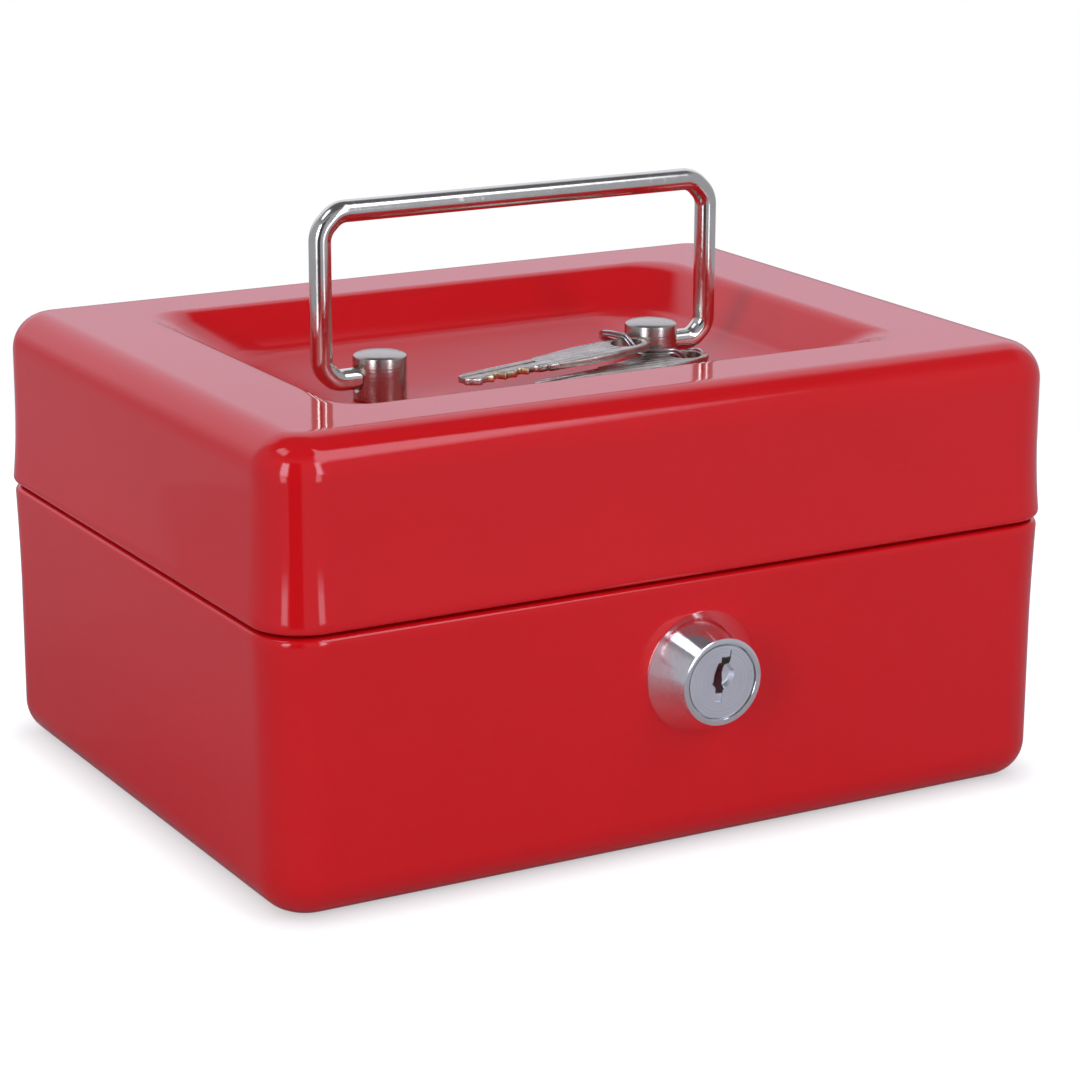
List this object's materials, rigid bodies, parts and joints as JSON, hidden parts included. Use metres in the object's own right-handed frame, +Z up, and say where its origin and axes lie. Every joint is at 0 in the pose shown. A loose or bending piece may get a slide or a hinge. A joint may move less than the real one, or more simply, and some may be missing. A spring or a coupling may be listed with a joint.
{
  "type": "cash box",
  "caption": "Rounded steel cash box with a dished lid, an upright folding wire handle, a round cam lock in front, rear hinges, a lift-out coin tray and keys on a ring.",
  "frame": {"origin": "middle of the flat bottom face, where the closed box stands on a table", "axes": "+X along the front, to the right as seen from the front; -Y out of the front, where the lock is; +Z up"},
  "size_m": [0.1528, 0.1277, 0.105],
  "materials": {
    "paint": "gloss",
    "nickel": "gloss",
    "steel": "satin",
    "brass": "satin",
    "plastic": "matte",
    "key_metal": "satin"
  },
  "bodies": {
    "base": {"base_shell": "paint", "lock_housing": "nickel", "lock_nut": "steel", "hinge_base_leaf_left": "paint", "hinge_base_leaf_right": "paint", "hinge_pin_left": "steel", "hinge_pin_right": "steel", "tray_support_left": "paint", "tray_support_right": "paint"},
    "lid": {"lid_shell": "paint", "handle_post_left": "nickel", "handle_post_right": "nickel", "post_washer_left": "steel", "post_washer_right": "steel", "catch_plate": "steel", "hinge_lid_leaf_left": "paint", "hinge_lid_leaf_right": "paint"},
    "handle": {"handle_bail": "nickel"},
    "plug": {"lock_plug": "nickel", "lock_wafers": "brass", "lock_cam": "steel", "cam_screw": "steel"},
    "tray": {"coin_tray": "plastic"},
    "keys": {"key_ring": "steel", "key_one": "key_metal", "key_two": "key_metal"}
  },
  "joints": [
    {"name": "lid_hinge", "type": "hinge", "parent": "base", "child": "lid", "pos_m": [0, 0.0601, 0.04805], "axis": [-1, 0, 0], "range_deg": [0, 100]},
    {"name": "handle_swing", "type": "hinge", "parent": "lid", "child": "handle", "pos_m": [0, 0, 0.0736], "axis": [1, 0, 0], "range_deg": [-90, 90]},
    {"name": "plug_turn", "type": "hinge", "parent": "base", "child": "plug", "pos_m": [0.0024, -0.0583, 0.0314], "axis": [0, 1, 0], "range_deg": [0, 90]},
    {"name": "tray_lift", "type": "slide", "parent": "base", "child": "tray", "axis": [0, 0, 1], "range_m": [0, 0.01]},
    {"name": "keys_swing", "type": "hinge", "parent": "lid", "child": "keys", "pos_m": [0.0276, 0, 0.0695], "axis": [0, 0, 1], "range_deg": [-8, 12]}
  ]
}
